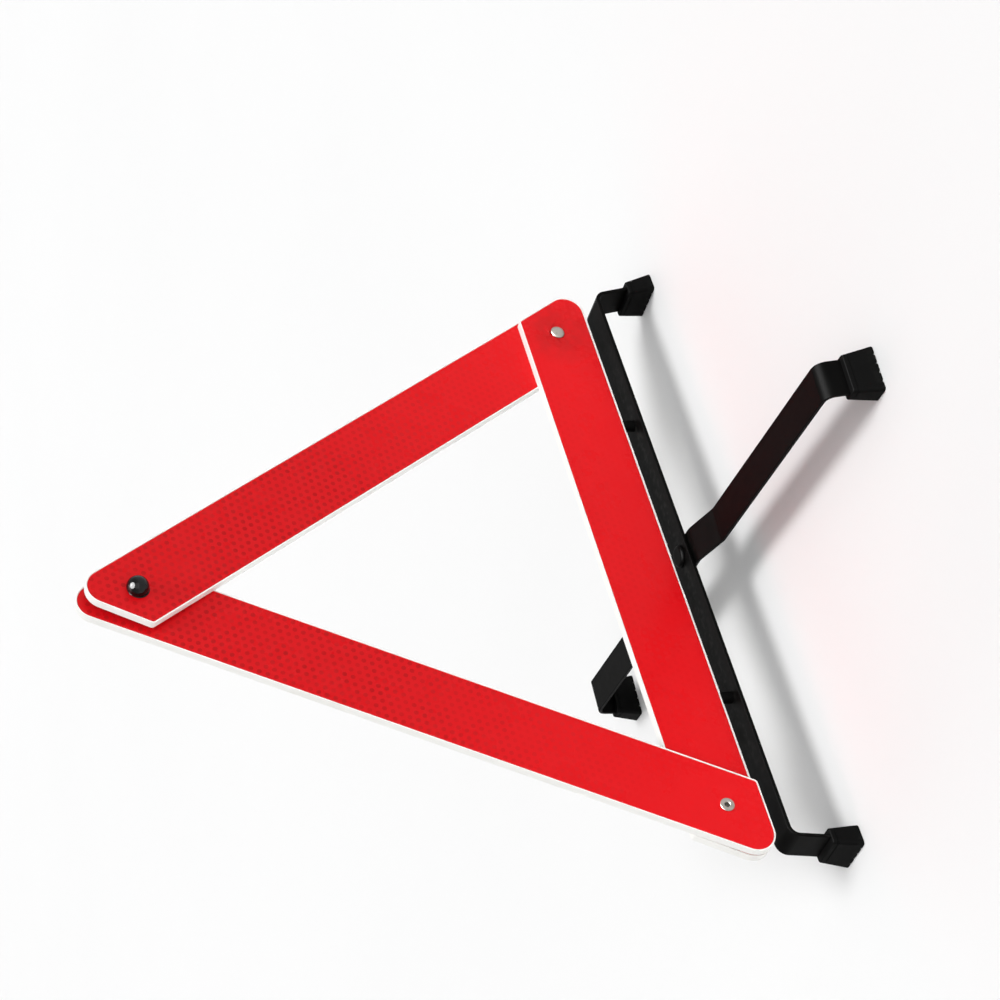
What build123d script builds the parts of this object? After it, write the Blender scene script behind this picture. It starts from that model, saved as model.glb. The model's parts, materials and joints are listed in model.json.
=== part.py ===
"""Folding warning triangle: three prismatic reflector arms on a pair of crossed steel legs.

Frame: +X runs along the base arm to the right, +Y to the rear, +Z up. The origin is on the
ground under the leg swivel. The lit side of the triangle faces -Y. All sizes are millimetres.
"""
from build123d import *
import os
from math import atan, cos, radians, sin, sqrt, tan

os.makedirs("parts", exist_ok=True)

# ---------------------------------------------------------------- driving dimensions: triangle
side = 470.0              # outer side of the triangle, to its sharp corners
arm_width = 50.0
arm_depth = 5.6           # front rim to back edge of one arm
rim_width = 1.0           # white border left around the reflector
wall = 1.8                # side walls of the hollow back
seat_depth = 1.4          # recess that holds the reflector
web = 1.6                 # plate between the reflector and the hollow back
acute_radius = 13.0       # rounding of the arms' outer corners
obtuse_radius = 3.0       # rounding of the arms' inner corners
least_radius = 0.5        # rounding left where an inset outline gets too small for its own
lap_clearance = 0.25      # least air between two arms where they lap
apex_setback = 5.0        # how far each front end stops short of its neighbour's outer edge
right_setback = 2.4
left_setback = 0.0
rib = 1.4
rib_pitch = 38.0
rib_recess = 0.5          # ribs stop this far inside the back edge
reflector_clearance = 0.15

# ---------------------------------------------------------------- driving dimensions: pivots
shank_radius = 3.0
fixed_clearance = 0.02    # rivet in the arm that it is set in
running_clearance = 0.06  # rivet in the arm that turns on it
face_clearance = 0.05
dome_radius = 4.9         # right pivot, domed head
dome_height = 1.9
flange_radius = 4.6       # left pivot, rolled eyelet flange
flange_height = 0.9
eyelet_bore = 1.7
boss_wall = 3.6
backing_radius = 6.0
backing_thickness = 0.7
tail_radius = 4.4
tail_height = 0.9
tail_clearance = 0.4      # free ring around the washer under the left pivot's tail
dome_clearance = 0.15     # free ring around the dome in the base reflector
tail_taper = 20.0         # degrees, all rivet tails
slip_radius = 7.0         # nylon washers between the arms

# ---------------------------------------------------------------- driving dimensions: apex snap
stud_radius = 2.6
stud_foot_radius = 4.6
knob_radius = 7.0
knob_flat = 1.0           # centre of the dome above its flat underside
knob_gap = 0.12           # least air between the knob and the tilted grommet
knob_bore_depth = 5.5
grommet_bore = 4.0
grommet_wall = 1.8
grommet_lip = 1.4
grommet_lip_height = 0.6
grommet_boss_wall = 2.2
stud_edge = 0.5

# ---------------------------------------------------------------- driving dimensions: legs
strap_width = 24.0
strap = 2.5               # sheet thickness of both legs
strap_edge = 0.5          # rounding of the strap's long edges
arm_height = 53.0         # ground to the lower edge of the base arm
leg_gap = 8.0             # base arm down to the long leg
long_bend = 217.5         # centre to the fold of the long leg
cross_bend = 217.0        # centre to the fold of the cross leg
fold_radius = 7.0
splay = 10.0              # degrees that the turned-down ends lean outwards
cross_angle = 82.9        # degrees from the long leg to the cross leg, set up for use
joggle_start = 17.0
joggle_end = 42.0
joggle_drop = 7.4
joggle_radius = 12.0
wave_washer = 0.6
swivel_radius = 4.0
swivel_head_radius = 7.5
swivel_head_height = 2.4
swivel_tail_height = 1.6
swivel_tail_flange = 1.6  # how far the peened tail stands out around the pin
swivel_washer_radius = 9.0
swivel_washer = 1.0
screw_spread = 220.0      # distance between the two screws that hold the long leg
screw_radius = 1.5
screw_head_radius = 3.0
screw_head_height = 2.0
screw_grip = 12.0         # screw length inside the base arm
spacer_radius = 4.0
screw_block = 8.0
screw_clearance = 0.2     # screw in its leg and its spacer
head_rounding = 0.85      # share of a rivet head's height that is rounded off

# ---------------------------------------------------------------- driving dimensions: feet
foot_height = 19.0
foot_top = (11.0, 26.5)   # along the leg, across the leg
foot_sole = (14.5, 31.5)
foot_corner = 2.5
foot_lean = 3.0           # sole centre outside the top's centre
strap_seat = 4.0          # strap's end above the ground
pocket_clearance = 0.05

# ---------------------------------------------------------------- geometry that follows from them
pivot_span = side - sqrt(3) * arm_width
rise = pivot_span * sin(radians(60))
slope = 1.5 * (arm_depth + lap_clearance) / (rise - 1.5 * arm_width)
lean = atan(slope)        # the side arms lean by this so that each laps its neighbours
lap = arm_depth + lap_clearance + arm_width / 2 * slope
pivot_height = arm_height + arm_width / 2
web_back = arm_depth / 2 - seat_depth - web
hollow = web_back + arm_depth / 2
screw_line = seat_depth / 2   # the leg screws run midway between the reflector and the back

right_up = Vector(0, -sin(lean), cos(lean))
left_up = Vector(0, sin(lean), cos(lean))
right_normal = Vector(0, -cos(lean), -sin(lean))
left_normal = Vector(0, -cos(lean), sin(lean))
right_point = Vector(pivot_span / 2, lap, pivot_height)
left_point = Vector(-pivot_span / 2, -lap, pivot_height)
right_tip = right_point + Vector(-pivot_span / 2, 0, 0) + right_up * rise
left_tip = left_point + Vector(pivot_span / 2, 0, 0) + left_up * rise
apex_gap = left_tip.Y - right_tip.Y

# planes at the pivots: origin in the middle of the arm's depth, local Z out of its lit face
right_pivot = Plane(origin=right_point, x_dir=(1, 0, 0), z_dir=right_normal)
left_pivot = Plane(origin=left_point, x_dir=(1, 0, 0), z_dir=left_normal)
right_apex = Plane(origin=right_tip, x_dir=(1, 0, 0), z_dir=right_normal)
left_apex = Plane(origin=left_tip, x_dir=(1, 0, 0), z_dir=left_normal)

right_axis = Axis(right_point, right_normal)
left_axis = Axis(left_point, left_normal)

# planes of the arms: local X runs along the arm, local Y towards the middle of the triangle
base_frame = Plane(origin=(-pivot_span / 2, 0, pivot_height), x_dir=(1, 0, 0), z_dir=(0, -1, 0))
right_frame = Plane(origin=right_point, x_dir=right_tip - right_point, z_dir=right_normal)
left_frame = Plane(origin=left_tip, x_dir=left_point - left_tip, z_dir=left_normal)

long_top = arm_height - leg_gap
long_middle = long_top - strap / 2
cross_middle = long_top - strap - wave_washer - strap / 2
grommet_hole = grommet_bore + grommet_wall


def save(builder, name):
    """Label a finished piece and write it to its own file."""
    builder.part.label = name
    export_step(builder.part, f"parts/{name}.step")


def arm_outline(inset, setback):
    """One arm from its back-lapping end at the origin to its front-lapping end."""
    half = arm_width / 2 - inset
    start = half
    end = half - setback
    with BuildSketch() as outline:
        with BuildLine():
            Polyline(
                (-(start + half / 2) / cos(radians(30)), -half),
                (pivot_span + (end + half / 2) / cos(radians(30)), -half),
                (pivot_span + (end - half / 2) / cos(radians(30)), half),
                (-(start - half / 2) / cos(radians(30)), half),
                close=True,
            )
        make_face()
        corners = outline.vertices().group_by(Axis.Y)
        fillet(corners[0], max(acute_radius - inset, least_radius))
        fillet(outline.vertices().group_by(Axis.Y)[-1], max(obtuse_radius - inset, least_radius))
    return outline.sketch


def rib_places():
    """Places of the cross ribs along an arm, clear of both pivots."""
    count = int((pivot_span - 2 * rib_pitch) / rib_pitch)
    step = (pivot_span - 2 * rib_pitch) / count
    return [(rib_pitch + step * number, 0) for number in range(count + 1)]


def moulded_arm(name, frame, setback, front_boss, bores, tail_seats, screw_places):
    """A white arm: reflector recess in front, ribbed hollow behind, a boss at its front lap."""
    with BuildPart() as arm:
        with BuildSketch(frame.offset(-arm_depth / 2)):
            add(arm_outline(0, setback))
        extrude(amount=arm_depth)
        with BuildSketch(frame.offset(arm_depth / 2)):
            add(arm_outline(rim_width, setback))
        extrude(amount=-seat_depth, mode=Mode.SUBTRACT)
        with BuildSketch(frame.offset(-arm_depth / 2)):
            add(arm_outline(wall, setback))
        extrude(amount=hollow, mode=Mode.SUBTRACT)
        with BuildSketch(frame.offset(web_back)):
            with Locations(*rib_places()):
                Rectangle(rib, arm_width - 2 * wall)
            with Locations((pivot_span / 2, 0)):
                Rectangle(pivot_span - 2 * rib_pitch, rib)
        extrude(amount=-(hollow - rib_recess))
        with BuildSketch(frame.offset(web_back)):
            with Locations((pivot_span, 0)):
                Circle(front_boss)
        extrude(amount=-hollow)
        for place in screw_places:
            with BuildSketch(frame.offset(web_back)):
                with Locations((place, (screw_grip + wall - arm_width) / 2)):
                    Rectangle(screw_block, screw_grip + wall)
            extrude(amount=-hollow)
        for plane, radius in bores:
            with BuildSketch(plane):
                Circle(radius)
            extrude(amount=3 * arm_depth, both=True, mode=Mode.SUBTRACT)
        for plane, radius in tail_seats:
            with BuildSketch(plane):
                Circle(radius)
            extrude(amount=-hollow, mode=Mode.SUBTRACT)
        for place in screw_places:
            axis = Vector(place - pivot_span / 2, screw_line, arm_height)
            with BuildSketch(Plane(origin=axis)):
                Circle(screw_radius)
            extrude(amount=screw_grip, mode=Mode.SUBTRACT)
    save(arm, name)


def reflector(name, frame, setback, bores, head_seats):
    """A red prismatic panel that lies in the arm's recess, flush with its white rim."""
    with BuildPart() as panel:
        with BuildSketch(frame.offset(arm_depth / 2 - seat_depth)):
            add(arm_outline(rim_width + reflector_clearance, setback))
        extrude(amount=seat_depth)
        for plane, radius in bores:
            with BuildSketch(plane):
                Circle(radius)
            extrude(amount=3 * arm_depth, both=True, mode=Mode.SUBTRACT)
        for plane, radius in head_seats:
            with BuildSketch(plane):
                Circle(radius)
            extrude(amount=arm_depth, mode=Mode.SUBTRACT)
    save(panel, name)


def ring(name, plane, outer, inner, thickness):
    """A flat washer whose face lies on the plane and which grows towards its local +Z."""
    with BuildPart() as washer:
        with BuildSketch(plane):
            Circle(outer)
            Circle(inner, mode=Mode.SUBTRACT)
        extrude(amount=thickness)
    save(washer, name)


# ---------------------------------------------------------------- heights along the pivot axes
moving_bore = shank_radius + running_clearance
fixed_bore = shank_radius + fixed_clearance
dome_seat = (lap + arm_depth / 2) / cos(lean) - dome_radius * slope
right_tail = web_back - face_clearance - backing_thickness
left_tail_seat = -(lap - web_back) / cos(lean) + backing_radius * slope
left_tail = left_tail_seat - backing_thickness
slip_thickness = (lap - arm_depth) / cos(lean) - slip_radius * slope - 2 * face_clearance
collar_thickness = apex_gap - arm_depth - 2 * stud_foot_radius * slope - face_clearance
stud_tail = web_back - backing_thickness - tail_height

# ---------------------------------------------------------------- arms and reflectors
boss_radius = shank_radius + boss_wall
grommet_boss = grommet_hole + grommet_boss_wall
screw_places = [pivot_span / 2 - screw_spread / 2, pivot_span / 2 + screw_spread / 2]

moulded_arm(
    "base_arm", base_frame, right_setback, boss_radius,
    [(right_pivot, fixed_bore), (left_pivot, fixed_bore)],
    [(left_pivot.offset(left_tail_seat), backing_radius + tail_clearance)],
    screw_places,
)
moulded_arm(
    "right_arm", right_frame, apex_setback, grommet_boss,
    [(right_pivot, moving_bore), (right_apex, grommet_hole)], [], [],
)
moulded_arm(
    "left_arm", left_frame, left_setback, boss_radius,
    [(left_pivot, moving_bore), (left_apex, stud_radius + fixed_clearance)], [], [],
)
reflector(
    "base_reflector", base_frame, right_setback,
    [(right_pivot, moving_bore), (left_pivot, moving_bore)],
    [(right_pivot.offset(dome_seat), dome_radius + dome_clearance)],
)
reflector(
    "right_reflector", right_frame, apex_setback,
    [(right_pivot, moving_bore), (right_apex, grommet_hole)], [],
)
reflector(
    "left_reflector", left_frame, left_setback,
    [(left_pivot, moving_bore), (left_apex, stud_radius + fixed_clearance)], [],
)

# ---------------------------------------------------------------- right pivot: domed rivet
with BuildPart() as right_pivot_rivet:
    with BuildSketch(right_pivot.offset(dome_seat)):
        Circle(dome_radius)
    extrude(amount=dome_height)
    fillet(right_pivot_rivet.edges().group_by(right_axis)[-1], dome_height * head_rounding)
    with BuildSketch(right_pivot.offset(right_tail)):
        Circle(shank_radius)
    extrude(amount=dome_seat - right_tail)
    with BuildSketch(right_pivot.offset(right_tail)):
        Circle(tail_radius)
    extrude(amount=-tail_height, taper=tail_taper)
save(right_pivot_rivet, "right_pivot_rivet")
ring("right_backing_washer", right_pivot.offset(right_tail), backing_radius, fixed_bore,
     backing_thickness)
ring("right_slip_washer", right_pivot.offset(arm_depth / 2 + face_clearance), slip_radius,
     moving_bore, slip_thickness)

# ---------------------------------------------------------------- left pivot: tubular eyelet
with BuildPart() as left_pivot_rivet:
    with BuildSketch(left_pivot.offset(arm_depth / 2 + face_clearance)):
        Circle(flange_radius)
    extrude(amount=flange_height)
    fillet(left_pivot_rivet.edges().group_by(left_axis)[-1], flange_height * head_rounding)
    with BuildSketch(left_pivot.offset(left_tail)):
        Circle(shank_radius)
    extrude(amount=arm_depth / 2 + face_clearance - left_tail)
    with BuildSketch(left_pivot.offset(left_tail)):
        Circle(tail_radius)
    extrude(amount=-tail_height, taper=tail_taper)
    with BuildSketch(left_pivot):
        Circle(eyelet_bore)
    extrude(amount=4 * arm_depth, both=True, mode=Mode.SUBTRACT)
save(left_pivot_rivet, "left_pivot_rivet")
ring("left_backing_washer", left_pivot.offset(left_tail), backing_radius, fixed_bore,
     backing_thickness)
ring("left_slip_washer", left_pivot.offset(-arm_depth / 2 - face_clearance), slip_radius,
     moving_bore, -slip_thickness)

# ---------------------------------------------------------------- apex: snap stud, knob, grommet
knob_flat_radius = sqrt(knob_radius**2 - knob_flat**2)
knob_tilt = 2 * slope * knob_flat_radius
knob_seat = apex_gap + arm_depth / 2 + grommet_lip_height + knob_tilt + knob_gap
with BuildPart() as apex_stud:
    with BuildSketch(left_apex.offset(stud_tail)):
        Circle(tail_radius)
    extrude(amount=tail_height)
    with BuildSketch(left_apex.offset(stud_tail)):
        Circle(stud_radius)
    extrude(amount=knob_seat + knob_bore_depth - stud_tail)
    with BuildSketch(left_apex.offset(arm_depth / 2)):
        Circle(stud_foot_radius)
    extrude(amount=collar_thickness)
    fillet(apex_stud.edges().group_by(left_axis)[-1], stud_edge)
save(apex_stud, "apex_stud")
ring("apex_backing_washer", left_apex.offset(web_back), backing_radius,
     stud_radius + fixed_clearance, -backing_thickness)

with BuildPart() as apex_knob:
    with BuildSketch(Plane(origin=left_tip, x_dir=(1, 0, 0), z_dir=left_up)):
        with BuildLine():
            dome = Line((0, -(knob_seat + knob_flat + knob_radius)), (0, -knob_seat))
            Line(dome @ 1, (knob_flat_radius, -knob_seat))
            ThreePointArc(
                (knob_flat_radius, -knob_seat),
                (knob_radius, -(knob_seat + knob_flat)),
                dome @ 0,
            )
        make_face()
    revolve(axis=Axis(left_tip, left_normal))
    with BuildSketch(left_apex.offset(knob_seat)):
        Circle(stud_radius + fixed_clearance)
    extrude(amount=knob_bore_depth, mode=Mode.SUBTRACT)
save(apex_knob, "apex_knob")

with BuildPart() as snap_grommet:
    with BuildSketch(right_apex.offset(-arm_depth / 2)):
        Circle(grommet_hole)
    extrude(amount=arm_depth)
    with BuildSketch(right_apex.offset(arm_depth / 2)):
        Circle(grommet_hole + grommet_lip)
    extrude(amount=grommet_lip_height)
    fillet(snap_grommet.edges().group_by(right_axis)[-1], grommet_lip_height * head_rounding)
    with BuildSketch(right_apex):
        Circle(grommet_bore)
    extrude(amount=2 * arm_depth, both=True, mode=Mode.SUBTRACT)
save(snap_grommet, "snap_grommet")


# ---------------------------------------------------------------- legs
def strap_points(points):
    """Both halves of a leg's middle line, from the points of its right half."""
    return [(-x, z) for x, z in reversed(points)] + points


def turned_down(bend, height):
    """The fold and the splayed end of a leg whose strap lies at the height given."""
    drop = height - strap_seat
    return [(bend, height), (bend + drop * tan(radians(splay)), strap_seat)]


def pressed_leg(name, angle, points, radii, bores):
    """A steel strap folded from its middle line and turned about the swivel."""
    leg_plane = Plane.XY.rotated((0, 0, angle))
    section = Plane(origin=(0, 0, 0), x_dir=leg_plane.x_dir, z_dir=-leg_plane.y_dir)
    with BuildPart() as leg:
        with BuildSketch(section):
            with BuildLine():
                middle = FilletPolyline(*strap_points(points), radius=radii)
                offset(middle, amount=strap / 2, side=Side.BOTH, mode=Mode.REPLACE)
            make_face()
        extrude(amount=strap_width / 2, both=True)
        long_edges = leg.faces().filter_by(section).edges()
        fillet(long_edges, strap_edge)
        for x, y, radius in bores:
            with BuildSketch(leg_plane):
                with Locations((x, y)):
                    Circle(radius)
            extrude(amount=arm_height, mode=Mode.SUBTRACT)
    save(leg, name)


long_points = turned_down(long_bend, long_middle)
cross_points = [
    (joggle_start, cross_middle),
    (joggle_end, cross_middle - joggle_drop),
] + turned_down(cross_bend, cross_middle - joggle_drop)

pressed_leg(
    "long_leg", 0, long_points, fold_radius,
    [(0, 0, swivel_radius + fixed_clearance),
     (-screw_spread / 2, screw_line, screw_radius + screw_clearance),
     (screw_spread / 2, screw_line, screw_radius + screw_clearance)],
)
pressed_leg(
    "cross_leg", cross_angle, cross_points,
    [fold_radius] + [joggle_radius] * 4 + [fold_radius],
    [(0, 0, swivel_radius + running_clearance)],
)

# ---------------------------------------------------------------- swivel
long_bottom = long_top - strap
cross_bottom = cross_middle - strap / 2
with BuildPart() as swivel_rivet:
    with BuildSketch(Plane.XY.offset(long_top)):
        Circle(swivel_head_radius)
    extrude(amount=swivel_head_height)
    fillet(swivel_rivet.edges().group_by(Axis.Z)[-1], swivel_head_height * head_rounding)
    with BuildSketch(Plane.XY.offset(long_top)):
        Circle(swivel_radius)
    extrude(amount=-(long_top - cross_bottom + face_clearance + swivel_washer))
    with BuildSketch(Plane.XY.offset(cross_bottom - face_clearance - swivel_washer)):
        Circle(swivel_radius + swivel_tail_flange)
    extrude(amount=-swivel_tail_height, taper=tail_taper)
save(swivel_rivet, "swivel_rivet")
ring("swivel_wave_washer", Plane.XY.offset(long_bottom), swivel_washer_radius,
     swivel_radius + running_clearance, -(wave_washer - face_clearance))
ring("swivel_backing_washer", Plane.XY.offset(cross_bottom - face_clearance),
     swivel_washer_radius, swivel_radius + fixed_clearance, -swivel_washer)

# ---------------------------------------------------------------- fastening of the long leg
screw_spots = [(-screw_spread / 2, screw_line), (screw_spread / 2, screw_line)]
with BuildPart() as leg_spacers:
    with BuildSketch(Plane.XY.offset(long_top)):
        with Locations(*screw_spots):
            Circle(spacer_radius)
            Circle(screw_radius + screw_clearance, mode=Mode.SUBTRACT)
    extrude(amount=leg_gap)
save(leg_spacers, "leg_spacers")

with BuildPart() as leg_screws:
    with BuildSketch(Plane.XY.offset(long_bottom)):
        with Locations(*screw_spots):
            Circle(screw_head_radius)
    extrude(amount=-screw_head_height)
    fillet(leg_screws.edges().group_by(Axis.Z)[0], screw_head_height * head_rounding)
    with BuildSketch(Plane.XY.offset(long_bottom)):
        with Locations(*screw_spots):
            Circle(screw_radius)
    extrude(amount=strap + leg_gap + screw_grip)
save(leg_screws, "leg_screws")


# ---------------------------------------------------------------- feet
def foot(name, angle, points):
    """A flared boot pushed onto one turned-down end of a leg."""
    top_at = points[-2][0] + (points[-2][1] - foot_height) * tan(radians(splay))
    plane = Plane.XY.rotated((0, 0, angle))
    section = Plane(origin=(0, 0, 0), x_dir=plane.x_dir, z_dir=-plane.y_dir)
    with BuildPart() as boot:
        with BuildSketch(plane):
            with Locations((top_at + foot_lean, 0)):
                RectangleRounded(*foot_sole, foot_corner)
        with BuildSketch(plane.offset(foot_height)):
            with Locations((top_at, 0)):
                RectangleRounded(*foot_top, foot_corner)
        loft()
        with BuildSketch(section):
            with BuildLine():
                end = Line(points[-2], points[-1])
                offset(end, amount=strap / 2 + pocket_clearance, side=Side.BOTH, mode=Mode.REPLACE)
            make_face()
        extrude(amount=strap_width / 2 + pocket_clearance, both=True, mode=Mode.SUBTRACT)
    save(boot, name)


foot("right_foot", 0, long_points)
foot("left_foot", 180, long_points)
foot("rear_foot", cross_angle, cross_points)
foot("front_foot", cross_angle + 180, cross_points)
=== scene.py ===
"""Looks of a folding warning triangle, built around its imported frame.

The frame gives every place: metres, +X along the base arm to the right, +Y to the rear, +Z up.
Pieces that only need softer edges start as a merged copy of their frame node, and the pieces
with a finer shape than that, such as rivets, screws and boots, are modelled here from primitives.
"""

import json
import logging
import math
from collections.abc import Callable, Iterator, Sequence
from contextlib import contextmanager
from dataclasses import dataclass
from enum import Enum
from typing import Any

import bmesh
import bpy
from mathutils import Matrix, Vector

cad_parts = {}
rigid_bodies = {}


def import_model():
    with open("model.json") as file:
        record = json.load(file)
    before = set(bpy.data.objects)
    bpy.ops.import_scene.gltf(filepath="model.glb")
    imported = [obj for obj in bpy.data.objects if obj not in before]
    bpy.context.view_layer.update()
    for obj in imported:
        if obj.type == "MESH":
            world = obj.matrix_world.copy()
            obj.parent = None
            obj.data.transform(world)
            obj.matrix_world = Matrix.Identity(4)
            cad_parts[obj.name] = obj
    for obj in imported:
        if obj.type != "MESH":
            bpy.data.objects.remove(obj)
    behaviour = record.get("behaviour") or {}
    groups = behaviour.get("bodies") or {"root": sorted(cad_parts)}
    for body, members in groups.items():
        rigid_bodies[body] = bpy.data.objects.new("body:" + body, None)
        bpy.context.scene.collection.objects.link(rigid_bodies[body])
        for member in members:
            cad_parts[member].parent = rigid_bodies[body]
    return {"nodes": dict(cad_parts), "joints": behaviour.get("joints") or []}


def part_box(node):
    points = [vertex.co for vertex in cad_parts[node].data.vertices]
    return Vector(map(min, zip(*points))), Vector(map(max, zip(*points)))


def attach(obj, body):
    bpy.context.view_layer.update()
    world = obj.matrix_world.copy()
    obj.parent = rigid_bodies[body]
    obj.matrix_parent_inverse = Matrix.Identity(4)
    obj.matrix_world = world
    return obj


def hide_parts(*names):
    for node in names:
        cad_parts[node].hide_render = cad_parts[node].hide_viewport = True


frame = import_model()

log = logging.getLogger("warning_triangle")

Triple = tuple[float, float, float]
Colour = Triple
Profile = list[tuple[float, float]]

MM = 0.001
WELD_DISTANCE = 0.002 * MM
LEVEL_TOLERANCE = 0.01 * MM
CORNER_ANGLE = math.radians(60)


class Slot(Enum):
    """The record's material slots."""

    RED = "red_reflector"
    WHITE = "white_plastic"
    PAINT = "black_paint"
    BOOT = "black_plastic"
    KNOB = "gloss_black"
    STEEL = "rivet_steel"
    NYLON = "nylon"


class Body(Enum):
    """The rigid bodies that pieces ride on."""

    STAND = "stand"
    RIGHT = "right_side"
    LEFT = "left_side"
    CROSS = "cross_leg"


class Pick(Enum):
    """What is picked in edit mode."""

    VERTICES = "VERT"
    EDGES = "EDGE"
    FACES = "FACE"


# ------------------------------------------------------------------------------ shader arithmetic
class Signal:
    """An output socket that takes part in arithmetic, each operation adding one Math node."""

    def __init__(self, tree: "NodeTree", socket: bpy.types.NodeSocket) -> None:
        """Wrap an output socket of a node tree."""
        self.tree = tree
        self.socket = socket

    def combine(self, operation: str, first: Any, second: Any) -> "Signal":
        """Result of a new Math node on two values, each a Signal or a number."""
        node = self.tree.add("ShaderNodeMath", {"operation": operation}, {0: first, 1: second})
        return Signal(self.tree, node.outputs[0])

    def __add__(self, other: Any) -> "Signal":
        """Sum of two values."""
        return self.combine("ADD", self, other)

    def __radd__(self, other: Any) -> "Signal":
        """Sum of two values."""
        return self.combine("ADD", other, self)

    def __mul__(self, other: Any) -> "Signal":
        """Product of two values."""
        return self.combine("MULTIPLY", self, other)

    def __rmul__(self, other: Any) -> "Signal":
        """Product of two values."""
        return self.combine("MULTIPLY", other, self)


class NodeTree:
    """One material and the nodes that make it."""

    def __init__(self, name: str) -> None:
        """Start an empty material.

        Args:
            name: the material's name.
        """
        self.material = bpy.data.materials.new(name)
        self.material.use_nodes = True
        self.tree = self.material.node_tree
        self.tree.nodes.clear()
        self.place = self.add("ShaderNodeTexCoord").outputs["Object"]

    def add(
        self, kind: str, settings: dict[str, Any] | None = None, inputs: dict[Any, Any] | None = None
    ) -> bpy.types.Node:
        """Add any node.

        Args:
            kind: the node's type.
            settings: its settings, and a ramp's stops under the name "stops".
            inputs: values or links of its sockets, by name or by number.

        Returns:
            The new node.
        """
        node = self.tree.nodes.new(kind)
        for name, value in (settings or {}).items():
            if name == "stops":
                self.set_stops(node.color_ramp, value)
            else:
                setattr(node, name, value)
        for key, value in (inputs or {}).items():
            self.feed(node.inputs[key], value)
        return node

    def feed(self, socket: bpy.types.NodeSocket, value: Any) -> None:
        """Link a socket, or set its own value.

        Args:
            socket: the input socket.
            value: a Signal or an output to link, or a plain value.
        """
        if isinstance(value, Signal):
            value = value.socket
        if isinstance(value, bpy.types.NodeSocket):
            self.tree.links.new(value, socket)
        else:
            socket.default_value = value

    @staticmethod
    def set_stops(ramp: bpy.types.ColorRamp, stops: Sequence[tuple[float, float]]) -> None:
        """Give a ramp its grey stops.

        Args:
            ramp: the ramp of a node.
            stops: pairs of place and brightness, in order.
        """
        while len(ramp.elements) < len(stops):
            ramp.elements.new(1.0)
        for element, (place, grey) in zip(ramp.elements, stops):
            element.position = place
            element.color = (grey, grey, grey, 1.0)

    def noise(self, scale: float, detail: float = 3.0, stretch: Triple = (1.0, 1.0, 1.0)) -> Signal:
        """Soft noise that lies still on the piece.

        Args:
            scale: waves per metre.
            detail: octaves.
            stretch: scale factors along X, Y and Z, for brushed or drawn finishes.

        Returns:
            A value around 0.5.
        """
        turned = self.add("ShaderNodeMapping", None, {"Vector": self.place, "Scale": stretch})
        node = self.add(
            "ShaderNodeTexNoise", None,
            {"Vector": turned.outputs[0], "Scale": scale, "Detail": detail, "Roughness": 0.55},
        )
        return Signal(self, node.outputs["Fac"])

    def ramp(self, value: Any, *stops: tuple[float, float]) -> Signal:
        """A value passed through a grey ramp, whose stops pair a place with a brightness."""
        node = self.add("ShaderNodeValToRGB", {"stops": stops}, {"Fac": value})
        return Signal(self, node.outputs["Color"])

    def near(self, point: Vector, reach: float) -> Signal:
        """How near the surface is to a point.

        Args:
            point: the point, in the frame.
            reach: the distance at which the value has run out.

        Returns:
            A value from 1 at the point to 0 at the reach and beyond.
        """
        moved = self.add(
            "ShaderNodeVectorMath", {"operation": "DISTANCE"}, {0: self.place, 1: tuple(point)}
        )
        return self.ramp(Signal(self, moved.outputs["Value"]) * (1 / reach), (0.0, 1.0), (1.0, 0.0))

    def mix(self, factor: Any, first: Any, second: Any) -> bpy.types.NodeSocket:
        """Mix two colours.

        Args:
            factor: share of the second colour, a Signal or a number.
            first: a colour, or a socket that gives one.
            second: a colour, or a socket that gives one.

        Returns:
            The mixed colour's socket.
        """
        node = self.add("ShaderNodeMix", {"data_type": "RGBA"})
        self.feed(node.inputs[0], factor)
        for socket, value in ((node.inputs[6], first), (node.inputs[7], second)):
            self.feed(socket, (*value, 1.0) if isinstance(value, tuple) else value)
        return node.outputs[2]

    def bump(self, height: Signal, depth: float, strength: float = 1.0) -> bpy.types.NodeSocket:
        """Relief from a height.

        Args:
            height: the height, from 0 to 1.
            depth: what 1 stands for, in metres.
            strength: share of the relief that shows.

        Returns:
            The normal's socket.
        """
        node = self.add(
            "ShaderNodeBump", None, {"Height": height, "Distance": depth, "Strength": strength}
        )
        return node.outputs["Normal"]

    def finish(self, inputs: dict[str, Any]) -> bpy.types.Material:
        """End the tree in a Principled shader.

        Args:
            inputs: the shader's values and links, by socket name.

        Returns:
            The material.
        """
        shader = self.add("ShaderNodeBsdfPrincipled", None, inputs)
        self.add("ShaderNodeOutputMaterial", None, {"Surface": shader.outputs[0]})
        return self.material


# ------------------------------------------------------------------------------ finishes
@dataclass(frozen=True)
class PaintedApexShade:
    """Painted shade: how the panels and their cells darken towards the apex."""

    apex: Vector
    reach: float = 0.40

    def strength(self, tree: NodeTree) -> Signal:
        """The share of the painted shade, 1 round the apex and 0 along the base arm."""
        # painted shade: strongest round the apex, gone along the base arm
        return tree.ramp(tree.near(self.apex, self.reach), (0.10, 0.0), (0.62, 1.0))


@dataclass(frozen=True)
class RivetDarkening:
    """A darker patch round the rivet of the right pivot."""

    spot: Vector
    dark: Colour = (0.46, 0.0065, 0.0075)
    reach: float = 0.032
    patch_scale: float = 120.0

    def over(self, tree: NodeTree, clean: bpy.types.NodeSocket) -> bpy.types.NodeSocket:
        """A clean colour darkened in patches round the spot."""
        patches = tree.ramp(tree.noise(self.patch_scale), (0.35, 0.4), (0.6, 1.0))
        return tree.mix(tree.near(self.spot, self.reach) * patches, clean, self.dark)


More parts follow.
